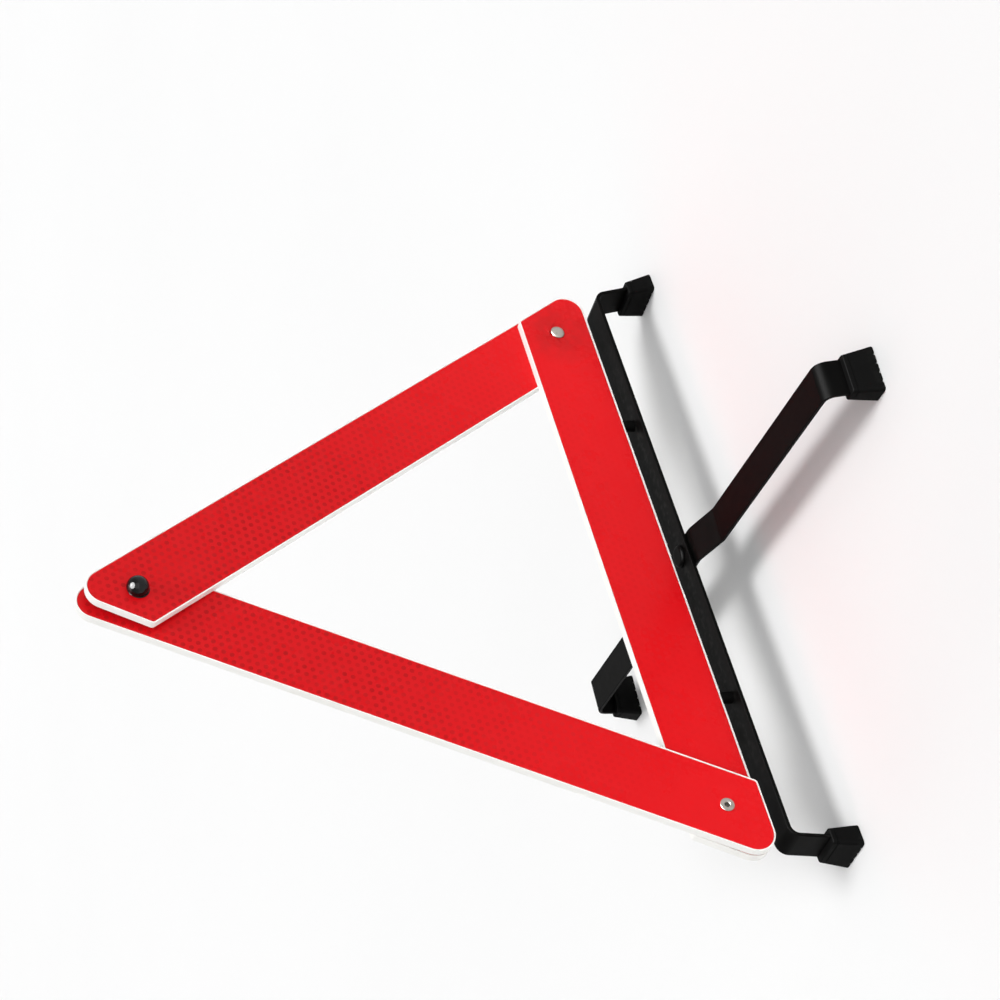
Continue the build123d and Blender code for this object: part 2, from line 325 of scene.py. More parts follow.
@dataclass(frozen=True)
class LensRed:
    """Clear red acrylic over prismatic cells: glossy, faintly cloudy, with painted shade darker
    towards the apex.
    """

    name: str = "lens_red"
    red: Colour = (0.76, 0.0045, 0.0085)
    deep: Colour = (0.66, 0.0040, 0.0075)
    # painted shade: the darker red that the lens takes round the apex
    painted_apex_red: Colour = (0.63, 0.0040, 0.0075)
    cloud_scale: float = 9.0
    smudge_scale: float = 38.0
    ripple_scale: float = 260.0
    ripple_depth: float = 0.02 * MM

    def material(self, painted_apex_shade: PaintedApexShade, rivet_darkening: RivetDarkening) -> bpy.types.Material:
        """Make the finish.

        Args:
            painted_apex_shade: how it darkens towards the apex.
            rivet_darkening: the darker patch round a rivet.

        Returns:
            The material.
        """
        tree = NodeTree(self.name)
        cloud = tree.ramp(tree.noise(self.cloud_scale, 4.0), (0.42, 0.0), (0.72, 1.0))
        colour = tree.mix(cloud * 0.35, self.red, self.deep)
        # painted shade, darker towards the apex
        colour = tree.mix(painted_apex_shade.strength(tree), colour, self.painted_apex_red)
        smudges = tree.noise(self.smudge_scale, 5.0)
        return tree.finish({
            "Base Color": rivet_darkening.over(tree, colour),
            "Roughness": 0.20 + 0.16 * smudges,
            "Normal": tree.bump(tree.noise(self.ripple_scale, 2.0), self.ripple_depth),
            "Specular IOR Level": 0.12,
        })


@dataclass(frozen=True)
class CellRed:
    """The prismatic cells, with painted shade: dark round the apex, and the lens's own red along the
    base arm.
    """

    name: str = "cell_red"
    # painted shade: the cells' dark red stands in for shade in the pits and deepens towards the apex
    dark: Colour = (0.43, 0.0030, 0.0045)
    faint: Colour = (0.75, 0.0045, 0.0085)
    patch_scale: float = 70.0
    gloss_scale: float = 150.0

    def material(self, painted_apex_shade: PaintedApexShade, rivet_darkening: RivetDarkening) -> bpy.types.Material:
        """Make the finish.

        Args:
            painted_apex_shade: how it darkens towards the apex.
            rivet_darkening: the darker patch round a rivet.

        Returns:
            The material.
        """
        tree = NodeTree(self.name)
        strength = painted_apex_shade.strength(tree)
        uneven = tree.ramp(tree.noise(self.patch_scale, 2.0), (0.3, 0.55), (0.65, 1.0))
        return tree.finish({
            # painted shade: mixes towards the dark red round the apex, in uneven patches
            "Base Color": rivet_darkening.over(tree, tree.mix(strength * uneven, self.faint, self.dark)),
            "Roughness": 0.30 + 0.15 * tree.noise(self.gloss_scale),
            "Specular IOR Level": 0.10,
        })


@dataclass(frozen=True)
class MouldedWhite:
    """White moulded plastic with a fine satin grain and a little handling dirt."""

    name: str = "moulded_white"
    white: Colour = (0.93, 0.92, 0.89)
    soiled: Colour = (0.78, 0.76, 0.70)
    dirt_scale: float = 32.0
    gloss_scale: float = 60.0
    grain_scale: float = 2600.0
    grain_depth: float = 0.03 * MM

    def material(self) -> bpy.types.Material:
        """Make the finish.

        Returns:
            Its material.
        """
        tree = NodeTree(self.name)
        dirt = tree.ramp(tree.noise(self.dirt_scale, 6.0), (0.55, 0.0), (0.80, 1.0))
        return tree.finish({
            "Base Color": tree.mix(dirt * 0.5, self.white, self.soiled),
            "Roughness": 0.34 + 0.22 * tree.noise(self.gloss_scale, 4.0),
            "Normal": tree.bump(tree.noise(self.grain_scale, 2.0), self.grain_depth, 0.5),
            "Specular IOR Level": 0.45,
        })


@dataclass(frozen=True)
class BlackPaint:
    """Stoved black paint on pressed steel: slight orange peel, rubbed along its edges."""

    name: str = "black_paint"
    black: Colour = (0.0020, 0.0019, 0.0018)
    dusty: Colour = (0.0055, 0.0052, 0.0046)
    rubbed: Colour = (0.030, 0.029, 0.027)
    rub_scale: float = 240.0
    dust_scale: float = 26.0
    gloss_scale: float = 90.0
    peel_scale: float = 900.0
    peel_depth: float = 0.05 * MM

    def material(self) -> bpy.types.Material:
        """Make the finish.

        Returns:
            Its material.
        """
        tree = NodeTree(self.name)
        edge = Signal(tree, tree.add("ShaderNodeNewGeometry").outputs["Pointiness"])
        rub = tree.ramp(edge, (0.52, 0.0), (0.60, 1.0)) * tree.ramp(
            tree.noise(self.rub_scale, 5.0), (0.48, 0.0), (0.66, 1.0)
        )
        dust = tree.ramp(tree.noise(self.dust_scale, 6.0), (0.50, 0.0), (0.85, 1.0))
        colour = tree.mix(dust * 0.5, self.black, self.dusty)
        return tree.finish({
            "Base Color": tree.mix(rub * 0.8, colour, self.rubbed),
            "Roughness": 0.30 + 0.20 * tree.noise(self.gloss_scale, 4.0) + 0.15 * dust,
            "Normal": tree.bump(tree.noise(self.peel_scale, 2.0), self.peel_depth, 0.35),
            "Specular IOR Level": 0.03,
        })


@dataclass(frozen=True)
class BootRubber:
    """Black rubbery plastic with a fine spark-eroded grain, greyer where it scuffs the ground."""

    name: str = "boot_rubber"
    black: Colour = (0.0020, 0.0020, 0.0019)
    scuffed: Colour = (0.014, 0.0135, 0.012)
    scuff_height: float = 6.0 * MM
    scuff_scale: float = 330.0
    gloss_scale: float = 120.0
    grain_scale: float = 2200.0
    grain_depth: float = 0.06 * MM

    def material(self) -> bpy.types.Material:
        """Make the finish.

        Returns:
            Its material.
        """
        tree = NodeTree(self.name)
        height = tree.add("ShaderNodeSeparateXYZ", None, {0: tree.place}).outputs["Z"]
        low = tree.ramp(Signal(tree, height) * (1 / self.scuff_height), (0.0, 1.0), (1.0, 0.0))
        scuff = low * tree.ramp(tree.noise(self.scuff_scale, 6.0), (0.46, 0.0), (0.66, 1.0))
        return tree.finish({
            "Base Color": tree.mix(scuff * 0.7, self.black, self.scuffed),
            "Roughness": 0.46 + 0.2 * tree.noise(self.gloss_scale, 4.0),
            "Normal": tree.bump(tree.noise(self.grain_scale, 3.0), self.grain_depth, 0.5),
            "Specular IOR Level": 0.04,
        })


@dataclass(frozen=True)
class GlossKnob:
    """Polished black plastic of the snap knob, with hairline marks from handling."""

    name: str = "gloss_knob"
    black: Colour = (0.0032, 0.0032, 0.0034)
    brown: Colour = (0.020, 0.014, 0.011)
    mark_scale: float = 500.0
    mark_stretch: Triple = (1.0, 0.15, 1.0)

    def material(self) -> bpy.types.Material:
        """Make the finish.

        Returns:
            Its material.
        """
        tree = NodeTree(self.name)
        scratches = tree.noise(self.mark_scale, 6.0, self.mark_stretch)
        marks = tree.ramp(scratches, (0.55, 0.0), (0.72, 1.0))
        return tree.finish({
            "Base Color": tree.mix(marks * 0.3, self.black, self.brown),
            "Roughness": 0.10 + 0.12 * marks,
            "Specular IOR Level": 0.22,
            "Coat Weight": 0.1,
            "Coat Roughness": 0.06,
        })


@dataclass(frozen=True)
class RivetSteel:
    """Nickel-plated steel, uneven in gloss from turning, with a darker film in patches."""

    name: str = "rivet_steel"
    bright: Colour = (0.40, 0.375, 0.34)
    film: Colour = (0.14, 0.125, 0.10)
    stain_scale: float = 420.0
    turning_scale: float = 900.0
    grain_scale: float = 3000.0
    grain_depth: float = 0.02 * MM

    def material(self) -> bpy.types.Material:
        """Make the finish.

        Returns:
            Its material.
        """
        tree = NodeTree(self.name)
        stain = tree.ramp(tree.noise(self.stain_scale, 5.0), (0.50, 0.0), (0.74, 1.0))
        return tree.finish({
            "Base Color": tree.mix(stain * 0.6, self.bright, self.film),
            "Metallic": 1.0,
            "Roughness": 0.22 + 0.22 * tree.noise(self.turning_scale, 3.0) + 0.15 * stain,
            "Normal": tree.bump(tree.noise(self.grain_scale, 2.0), self.grain_depth, 0.5),
        })


@dataclass(frozen=True)
class NaturalNylon:
    """Milky natural nylon of the slip washers, yellowed in patches."""

    name: str = "natural_nylon"
    milky: Colour = (0.78, 0.75, 0.66)
    amber: Colour = (0.60, 0.54, 0.42)
    age_scale: float = 150.0
    gloss_scale: float = 300.0
    grain_scale: float = 1800.0
    grain_depth: float = 0.02 * MM
    glow_depth: float = 1.0 * MM

    def material(self) -> bpy.types.Material:
        """Make the finish.

        Returns:
            Its material.
        """
        tree = NodeTree(self.name)
        age = tree.ramp(tree.noise(self.age_scale, 4.0), (0.45, 0.0), (0.75, 1.0))
        return tree.finish({
            "Base Color": tree.mix(age * 0.5, self.milky, self.amber),
            "Roughness": 0.38 + 0.18 * tree.noise(self.gloss_scale),
            "Normal": tree.bump(tree.noise(self.grain_scale, 2.0), self.grain_depth, 0.4),
            "Subsurface Weight": 0.15,
            "Subsurface Scale": self.glow_depth,
        })


@dataclass(frozen=True)
class StudioFloor:
    """Plain pale studio floor, with hardly any tone of its own."""

    name: str = "studio_floor"
    pale: Colour = (0.90, 0.90, 0.90)
    shade: Colour = (0.87, 0.87, 0.87)
    tone_scale: float = 1.5

    def material(self) -> bpy.types.Material:
        """Make the finish.

        Returns:
            Its material.
        """
        tree = NodeTree(self.name)
        return tree.finish({
            "Base Color": tree.mix(tree.noise(self.tone_scale), self.pale, self.shade),
            "Roughness": 0.9,
            "Specular IOR Level": 0.1,
        })


# ------------------------------------------------------------------------------ modelling by hand
@contextmanager
def editing(piece: bpy.types.Object) -> Iterator[None]:
    """Edit mode on one piece, with nothing else selected and nothing selected in it.

    Args:
        piece: the piece to edit.

    Yields:
        Nothing. Edit mode ends with the block.
    """
    bpy.ops.object.select_all(action="DESELECT")
    bpy.context.view_layer.objects.active = piece
    piece.select_set(True)
    bpy.ops.object.mode_set(mode="EDIT")
    bpy.ops.mesh.select_mode(type="VERT")
    bpy.ops.mesh.select_all(action="DESELECT")
    yield
    bpy.ops.object.mode_set(mode="OBJECT")


def pick(piece: bpy.types.Object, kind: Pick, test: Callable[[Any], bool]) -> None:
    """Select the elements that pass a test, in edit mode, and nothing else.

    Args:
        piece: the piece in edit mode.
        kind: what is picked.
        test: takes a bmesh vertex, edge or face and says whether to pick it.
    """
    bpy.ops.mesh.select_mode(type=kind.value)
    bpy.ops.mesh.select_all(action="DESELECT")
    mesh = bmesh.from_edit_mesh(piece.data)
    elements = {Pick.VERTICES: mesh.verts, Pick.EDGES: mesh.edges, Pick.FACES: mesh.faces}[kind]
    for element in elements:
        element.select = test(element)
    mesh.select_flush_mode()
    bmesh.update_edit_mesh(piece.data)


def apply_modifier(piece: bpy.types.Object, kind: str, settings: dict[str, Any]) -> None:
    """Add one modifier and apply it.

    Args:
        piece: the piece to change.
        kind: the modifier's type.
        settings: the modifier's settings.
    """
    bpy.ops.object.select_all(action="DESELECT")
    bpy.context.view_layer.objects.active = piece
    piece.select_set(True)
    modifier = piece.modifiers.new(kind.lower(), kind)
    for name, value in settings.items():
        setattr(modifier, name, value)
    bpy.ops.object.modifier_apply(modifier=modifier.name)


def soften(
    piece: bpy.types.Object, width: float, segments: int = 2, sharper_than: float = 35.0
) -> None:
    """Round the edges of a piece.

    Args:
        piece: the piece to change.
        width: how far the rounding reaches from each edge.
        segments: faces across the rounding.
        sharper_than: the angle in degrees over which an edge is rounded.
    """
    apply_modifier(piece, "BEVEL", {
        "width": width,
        "segments": segments,
        "limit_method": "ANGLE",
        "angle_limit": math.radians(sharper_than),
        "use_clamp_overlap": False,
        "harden_normals": False,
    })


def shade(piece: bpy.types.Object, angle: float = 38.0) -> None:
    """Shade a piece smooth between its edges, its flats kept flat.

    Args:
        piece: the piece to shade.
        angle: the angle in degrees over which an edge stays sharp.
    """
    bpy.ops.object.select_all(action="DESELECT")
    bpy.context.view_layer.objects.active = piece
    piece.select_set(True)
    bpy.ops.object.shade_smooth_by_angle(angle=math.radians(angle))
    apply_modifier(piece, "WEIGHTED_NORMAL", {"keep_sharp": True})


def cut(piece: bpy.types.Object, tool: bpy.types.Object) -> None:
    """Cut a tool's shape out of a piece, then throw the tool away."""
    apply_modifier(piece, "BOOLEAN", {"operation": "DIFFERENCE", "object": tool, "solver": "EXACT"})
    bpy.data.objects.remove(tool)


def merged_copy(node: str, name: str, flatness: float = 0.5) -> bpy.types.Object:
    """A copy of a frame node with its loose triangles merged into whole faces.

    Args:
        node: the frame node.
        name: the new piece's name.
        flatness: the angle in degrees under which triangles count as one face.

    Returns:
        The new piece.
    """
    piece = bpy.data.objects.new(name, frame["nodes"][node].data.copy())
    bpy.context.scene.collection.objects.link(piece)
    piece.data.materials.clear()
    with editing(piece):
        bpy.ops.mesh.select_all(action="SELECT")
        bpy.ops.mesh.customdata_custom_splitnormals_clear()
        bpy.ops.mesh.remove_doubles(threshold=WELD_DISTANCE)
        bpy.ops.mesh.dissolve_limited(angle_limit=math.radians(flatness))
        bpy.ops.mesh.normals_make_consistent(inside=False)
    return piece


def turned(name: str, profile: Profile, segments: int, hollow: bool = False) -> bpy.types.Object:
    """A round piece drawn out of a disc, ring by ring, about local Z.

    Args:
        name: the new piece's name.
        profile: radius and height of each ring, from the bottom. A hollow profile goes up the
            outside, down the bore and back to its start.
        segments: sides of each ring.
        hollow: whether the piece is open along its axis.

    Returns:
        The new piece, with local Z as its axis.
    """
    radius, height = profile[0]
    bpy.ops.object.select_all(action="DESELECT")
    bpy.ops.mesh.primitive_circle_add(
        vertices=segments, radius=radius, fill_type="NOTHING" if hollow else "NGON",
        location=(0, 0, height),
    )
    piece = bpy.context.object
    piece.name = name
    bpy.ops.object.transform_apply(location=True)
    with editing(piece):
        bpy.ops.mesh.select_all(action="SELECT")
        for next_radius, next_height in profile[1:]:
            bpy.ops.mesh.extrude_region_move(
                TRANSFORM_OT_translate={"value": (0, 0, next_height - height)}
            )
            scale = next_radius / radius
            bpy.ops.transform.resize(value=(scale, scale, 1), center_override=(0, 0, next_height))
            radius, height = next_radius, next_height
        bpy.ops.mesh.select_all(action="SELECT")
        bpy.ops.mesh.remove_doubles(threshold=WELD_DISTANCE)
        bpy.ops.mesh.normals_make_consistent(inside=False)
    return piece


def block(name: str, size: Vector, middle: Vector) -> bpy.types.Object:
    """A plain block to shape further or to cut with.

    Args:
        name: the new piece's name.
        size: its size along X, Y and Z.
        middle: its middle.

    Returns:
        The new piece.
    """
    bpy.ops.object.select_all(action="DESELECT")
    bpy.ops.mesh.primitive_cube_add(size=1, location=middle)
    piece = bpy.context.object
    piece.name = name
    piece.scale = size
    bpy.ops.object.transform_apply(location=True, rotation=True, scale=True)
    return piece


def joined(pieces: Sequence[bpy.types.Object]) -> bpy.types.Object:
    """Several pieces made one.

    Args:
        pieces: the pieces, of which the first keeps its name.

    Returns:
        The one piece.
    """
    bpy.ops.object.select_all(action="DESELECT")
    for piece in pieces:
        piece.select_set(True)
    bpy.context.view_layer.objects.active = pieces[0]
    bpy.ops.object.join()
    return pieces[0]


def arc(centre: tuple[float, float], radius: float, start: float, end: float, steps: int) -> Profile:
    """Points of an arc in a turned profile, its angles in degrees from the outward direction."""
    angles = [math.radians(start + (end - start) * step / steps) for step in range(steps + 1)]
    return [(centre[0] + radius * math.cos(a), centre[1] + radius * math.sin(a)) for a in angles]


def standing_on(origin: Vector, axis: Vector) -> Matrix:
    """The matrix that stands local Z along an axis through an origin, both in the frame."""
    return Matrix.Translation(origin) @ axis.to_track_quat("Z", "Y").to_matrix().to_4x4()


def reach(node: str, origin: Vector, axis: Vector) -> tuple[float, float]:
    """Lowest and highest distance of a frame node from an origin, along an axis of length 1."""
    distances = [(v.co - origin).dot(axis) for v in frame["nodes"][node].data.vertices]
    return min(distances), max(distances)


def give(
    piece: bpy.types.Object, body: Body, materials: Sequence[bpy.types.Material],
    stands_for: str,
) -> None:
    """Dress a finished piece and hang it on its body.

    Args:
        piece: the finished piece.
        body: the body that it rides on.
        materials: the materials to add, none where it wears them already.
        stands_for: the frame node that it replaces.
    """
    for material in materials:
        piece.data.materials.append(material)
    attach(piece, body.value)
    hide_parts(stands_for)
    log.info("%s rides on %s for %s", piece.name, body.value, stands_for)


# ------------------------------------------------------------------------------ where the arms lie
@dataclass(frozen=True)
class ArmPlace:
    """Where one arm lies, from the pivot at its rear lap to the pivot at its front lap."""

    name: str
    body: Body
    start: Vector
    end: Vector
    lit: Vector

    @property
    def span(self) -> float:
        """Distance between the arm's two pivots."""
        return (self.end - self.start).length

    @property
    def matrix(self) -> Matrix:
        """The arm's place.

        Returns:
            The matrix to the frame from local X along the arm, local Y to the middle of the triangle
            and local Z out of the arm's lit face.
        """
        along = (self.end - self.start).normalized()
        inward = self.lit.cross(along).normalized()
        turn = Matrix((along, inward, self.lit)).transposed()
        return Matrix.Translation(self.start) @ turn.to_4x4()


@dataclass
class Triangle:
    """The pivots and arms of the set-up triangle, worked out from the frame's joints."""

    right_joint: str = "right_arm_fold"
    left_joint: str = "left_arm_fold"

    def __post_init__(self) -> None:
        """Read the two pivots and place the three arms."""
        joints = {joint["name"]: joint for joint in frame["joints"]}
        self.right_pivot = Vector(joints[self.right_joint]["pos_m"])
        self.left_pivot = Vector(joints[self.left_joint]["pos_m"])
        self.right_lit = Vector(joints[self.right_joint]["axis"]).normalized()
        self.left_lit = Vector(joints[self.left_joint]["axis"]).normalized()
        sideways = Vector((1, 0, 0))
        half = (self.right_pivot.x - self.left_pivot.x) / 2
        rise = half * math.tan(CORNER_ANGLE)
        self.right_tip = self.right_pivot - sideways * half + self.right_lit.cross(-sideways) * -rise
        self.left_tip = self.left_pivot + sideways * half + self.left_lit.cross(sideways) * rise
        middle = (self.right_pivot + self.left_pivot) / 2
        self.arms = [
            ArmPlace("base", Body.STAND, middle - sideways * half, middle + sideways * half,
                     Vector((0, -1, 0))),
            ArmPlace("right", Body.RIGHT, self.right_pivot, self.right_tip, self.right_lit),
            ArmPlace("left", Body.LEFT, self.left_tip, self.left_pivot, self.left_lit),
        ]


# ------------------------------------------------------------------------------ reflector arms
@dataclass
class Reflector:
    """A red panel with rows of small prismatic cells let into its face."""

    place: ArmPlace
    edge: float = 0.35 * MM
    cell_pitch: float = 5.45 * MM
    row_pitch: float = 4.72 * MM
    cell_radius: float = 1.65 * MM
    cell_depth: float = 0.24 * MM
    cell_sides: int = 6
    overshoot: float = 1.15
    border: float = 0.5 * MM
    corner_keep: float = 33.0 * MM
    rivet_keep: float = 7.4 * MM

    def build(self, lens: bpy.types.Material, cells: bpy.types.Material) -> None:
        """Model the panel and dress it.

        Args:
            lens: finish of its smooth face.
            cells: finish of its cells, which carries painted shade.
        """
        node = f"{self.place.name}_reflector"
        _, self.face = reach(node, self.place.start, self.place.lit)
        panel = merged_copy(node, f"{self.place.name}_prismatic_panel")
        self.half_width = max(
            abs((self.place.matrix.inverted() @ v.co).y) for v in panel.data.vertices
        )
        soften(panel, self.edge)
        for material in (lens, cells):
            panel.data.materials.append(material)
        cut(panel, self.cell_field(lens, cells))
        shade(panel, angle=12)
        give(panel, self.place.body, [], node)

    def cell_field(self, lens: bpy.types.Material, cells: bpy.types.Material) -> bpy.types.Object:
        """All cells of the panel as one cutting tool, staggered row by row.

        Args:
            lens: finish of the panel's smooth face, which the tool only names.
            cells: finish that the tool leaves on what it cuts.

        Returns:
            The cutting tool.
        """
        bpy.ops.object.select_all(action="DESELECT")
        rows = int(self.half_width / self.row_pitch)
        columns = int((self.place.span + 2 * self.corner_keep) / self.cell_pitch)
        height = self.overshoot * self.cell_depth
        bpy.ops.mesh.primitive_cone_add(
            vertices=self.cell_sides, radius1=0, radius2=self.overshoot * self.cell_radius,
            depth=height, end_fill_type="NGON",
            location=(-self.corner_keep, -(rows - 0.5) * self.row_pitch,
                      self.face - self.cell_depth + height / 2),
        )
        tool = bpy.context.object
        bpy.ops.object.transform_apply(location=True)
        for offset, count in (
            ((self.cell_pitch / 2, self.row_pitch, 0), 2),
            ((self.cell_pitch, 0, 0), columns),
            ((0, 2 * self.row_pitch, 0), rows),
        ):
            apply_modifier(tool, "ARRAY", {
                "count": count, "use_relative_offset": False, "use_constant_offset": True,
                "constant_offset_displace": offset,
            })
        with editing(tool):
            pick(tool, Pick.VERTICES, lambda vertex: not self.allows(vertex.co))
            bpy.ops.mesh.select_linked()
            bpy.ops.mesh.delete(type="VERT")
        tool.data.transform(self.place.matrix)
        for material in (lens, cells):
            tool.data.materials.append(material)
        for polygon in tool.data.polygons:
            polygon.material_index = 1
        return tool

    def allows(self, point: Vector) -> bool:
        """Whether a cell may reach a point, clear of the border, corners and rivets.

        Args:
            point: the point, in the arm's local coordinates.

        Returns:
            True where a cell may reach it.
        """
        width = self.half_width - self.border
        from_end = Vector((point.x - self.place.span, point.y))
        from_start = Vector((-point.x, point.y))
        for near in (from_start, from_end):
            along = near.x * math.cos(CORNER_ANGLE / 2)
            beyond = along + near.y / 2
            to_corner = along - near.y / 2
            if beyond > width or to_corner > self.corner_keep or near.length < self.rivet_keep:
                return False
        return abs(point.y) <= width


@dataclass
class ReflectorArms:
    """The three white mouldings and the red panels let into them."""

    triangle: Triangle
    edge: float = 0.28 * MM

    def build(self) -> None:
        """Model and dress all three arms."""
        white = MouldedWhite().material()
        # painted shade darkens the lens and the cells towards the apex
        painted_apex_shade = PaintedApexShade(self.triangle.left_tip)
        rivet_darkening = RivetDarkening(self.triangle.right_pivot)
        lens = LensRed().material(painted_apex_shade, rivet_darkening)
        cells = CellRed().material(painted_apex_shade, rivet_darkening)
        for place in self.triangle.arms:
            node = f"{place.name}_arm"
            moulding = merged_copy(node, f"{place.name}_moulding")
            soften(moulding, self.edge)
            shade(moulding)
            give(moulding, place.body, [white], node)
            Reflector(place).build(lens, cells)


# ------------------------------------------------------------------------------ rivets and snap
@dataclass
class DomedRivet:
    """Solid rivet of the right pivot: a low dome with a small brim, and a peened tail."""

    triangle: Triangle
    head_radius: float = 4.9 * MM
    head_height: float = 1.9 * MM
    brim: float = 0.35 * MM
    brim_edge: tuple[float, float] = (0.15 * MM, 0.12 * MM)
    dome_rings: int = 10
    shank_radius: float = 3.0 * MM
    tail_radius: float = 4.4 * MM
    tail_height: float = 0.9 * MM
    tail_shape: tuple[tuple[float, float], ...] = ((0.70, 0.0), (0.88, 0.12 * MM), (1.0, 0.4 * MM))
    sides: int = 64

    def build(self, steel: bpy.types.Material) -> None:
        """Model and dress the rivet.

        Args:
            steel: its finish.
        """
        origin, axis = self.triangle.right_pivot, self.triangle.right_lit
        low, high = reach("right_pivot_rivet", origin, axis)
        seat = high - self.head_height
        foot = low + self.tail_height
        dome_height = self.head_height - self.brim
        angles = [math.radians(90 * ring / self.dome_rings) for ring in range(self.dome_rings)]
        dome = [
            (self.head_radius * math.cos(a), seat + self.brim + dome_height * math.sin(a))
            for a in angles
        ]
        tail = [(self.tail_radius * share, low + height) for share, height in self.tail_shape]
        edge_width, edge_height = self.brim_edge
        profile = [
            *tail, (self.tail_radius, foot), (self.shank_radius, foot),
            (self.shank_radius, seat), (self.head_radius - edge_width, seat),
            (self.head_radius, seat + edge_height), *dome,
        ]
        rivet = turned("right_domed_rivet", profile, self.sides)
        rivet.data.transform(standing_on(origin, axis))
        shade(rivet, angle=50)
        give(rivet, Body.STAND, [steel], "right_pivot_rivet")


@dataclass
class TubularEyelet:
    """Hollow rivet of the left pivot: its flange rolls over from a bore that stays open."""

    triangle: Triangle
    flange_radius: float = 4.6 * MM
    flange_height: float = 0.9 * MM
    shank_radius: float = 3.0 * MM
    bore_radius: float = 1.7 * MM
    bore_edge: float = 0.25 * MM
    mouth_radius: float = 0.9 * MM
    crown_dip: tuple[float, float] = (0.1 * MM, 0.06 * MM)
    tail_radius: float = 4.4 * MM
    tail_height: float = 0.9 * MM
    tail_edge: float = 0.3 * MM
    sides: int = 64

    def build(self, steel: bpy.types.Material) -> None:
        """Model and dress the eyelet.

        Args:
            steel: its finish.
        """
        origin, axis = self.triangle.left_pivot, self.triangle.left_lit
        low, high = reach("left_pivot_rivet", origin, axis)
        seat = high - self.flange_height
        foot = low + self.tail_height
        roll = self.flange_height / 2
        flare = self.bore_radius + self.mouth_radius
        dip_width, dip_depth = self.crown_dip
        rim = arc((self.flange_radius - roll, seat + roll), roll, -90, 90, 8)
        mouth = arc((flare, high - self.mouth_radius), self.mouth_radius, 80, 180, 6)
        profile = [
            (self.bore_radius, low + self.tail_edge), (self.bore_radius + self.bore_edge, low),
            (self.tail_radius - self.tail_edge, low), (self.tail_radius, low + self.tail_edge),
            (self.tail_radius, foot), (self.shank_radius, foot), (self.shank_radius, seat),
            *rim, (flare + dip_width, high - dip_depth), *mouth[1:],
            (self.bore_radius, low + self.tail_edge),
        ]
        eyelet = turned("left_tubular_eyelet", profile, self.sides, hollow=True)
        eyelet.data.transform(standing_on(origin, axis))
        shade(eyelet, angle=50)
        give(eyelet, Body.STAND, [steel], "left_pivot_rivet")


@dataclass
class SnapKnob:
    """Black ball that snaps the apex together, pressed on the head of its stud."""

    triangle: Triangle
    radius: float = 7.0 * MM
    bore_radius: float = 2.62 * MM
    bore_depth: float = 5.5 * MM
    foot_edge: tuple[float, float, float] = (0.4 * MM, 0.1 * MM, 0.08 * MM)
    seam: float = 0.12 * MM
    seam_angle: float = 2.0
    crown_angle: float = 88.0
    crown_rings: int = 22
    sides: int = 72

    def build(self, gloss: bpy.types.Material) -> None:
        """Model and dress the knob.

        Args:
            gloss: its finish.
        """
        origin, axis = self.triangle.left_tip, self.triangle.left_lit
        low, high = reach("apex_knob", origin, axis)
        centre = high - self.radius
        first = -math.degrees(math.asin((centre - low) / self.radius))
        below = arc((0, centre), self.radius, first, -self.seam_angle, 3)
        above = arc((0, centre), self.radius, self.seam_angle, self.crown_angle, self.crown_rings)
        seam = [(self.radius + self.seam / 2, centre - self.seam),
                (self.radius + self.seam / 2, centre + self.seam)]
        bore_end = low + self.bore_depth
        foot_radius = below[0][0]
        foot_flat, foot_rim, foot_rise = self.foot_edge
        profile = [
            (self.bore_radius / 2, bore_end), (self.bore_radius, bore_end), (self.bore_radius, low),
            (foot_radius - foot_flat, low), (foot_radius - foot_rim, low + foot_rise),
            *below[1:], *seam, *above,
        ]
        knob = turned("apex_snap_knob", profile, self.sides)
        knob.data.transform(standing_on(origin, axis))
        shade(knob, angle=50)
        give(knob, Body.LEFT, [gloss], "apex_knob")


@dataclass
class Fittings:
    """All rivets, washers and the parts of the apex snap."""

    triangle: Triangle
    edge: float = 0.12 * MM

    def build(self) -> None:
        """Model and dress the fittings, and dress the plain washers of the frame."""
        steel = RivetSteel().material()
        nylon = NaturalNylon().material()
        DomedRivet(self.triangle).build(steel)
        TubularEyelet(self.triangle).build(steel)
        gloss = GlossKnob().material()
        SnapKnob(self.triangle).build(gloss)
        self.soft_copy("apex_stud", "apex_snap_stud", Body.LEFT, steel)
        self.soft_copy("snap_grommet", "apex_snap_grommet", Body.RIGHT, gloss)
        self.soft_copy("swivel_rivet", "leg_swivel_rivet", Body.STAND,
                       BlackPaint("blackened_steel").material())
        self.dress_node("leg_spacers", Slot.BOOT, BootRubber("spacer_plastic").material())
        for node in ("right_backing_washer", "left_backing_washer", "apex_backing_washer",
                     "swivel_wave_washer", "swivel_backing_washer"):
            self.dress_node(node, Slot.STEEL, steel)
        for node in ("right_slip_washer", "left_slip_washer"):
            self.dress_node(node, Slot.NYLON, nylon)

    def soft_copy(
        self, node: str, name: str, body: Body, material: bpy.types.Material
    ) -> None:
        """Replace a node by a copy with softened edges.

        Args:
            node: the frame node.
            name: the new piece's name.
            body: the body that it rides on.
            material: its finish.
        """
        piece = merged_copy(node, name)
        soften(piece, self.edge)
        shade(piece, angle=50)
        give(piece, body, [material], node)

    @staticmethod
    def dress_node(node: str, slot: Slot, material: bpy.types.Material) -> None:
        """Give a frame node that stays as it is a better material.

        Args:
            node: the frame node.
            slot: the record's slot that it takes its finish from; not used.
            material: its finish.
        """
        piece = frame["nodes"][node]
        piece.data.materials.clear()
        piece.data.materials.append(material)
        log.info("%s stays and takes %s", node, material.name)


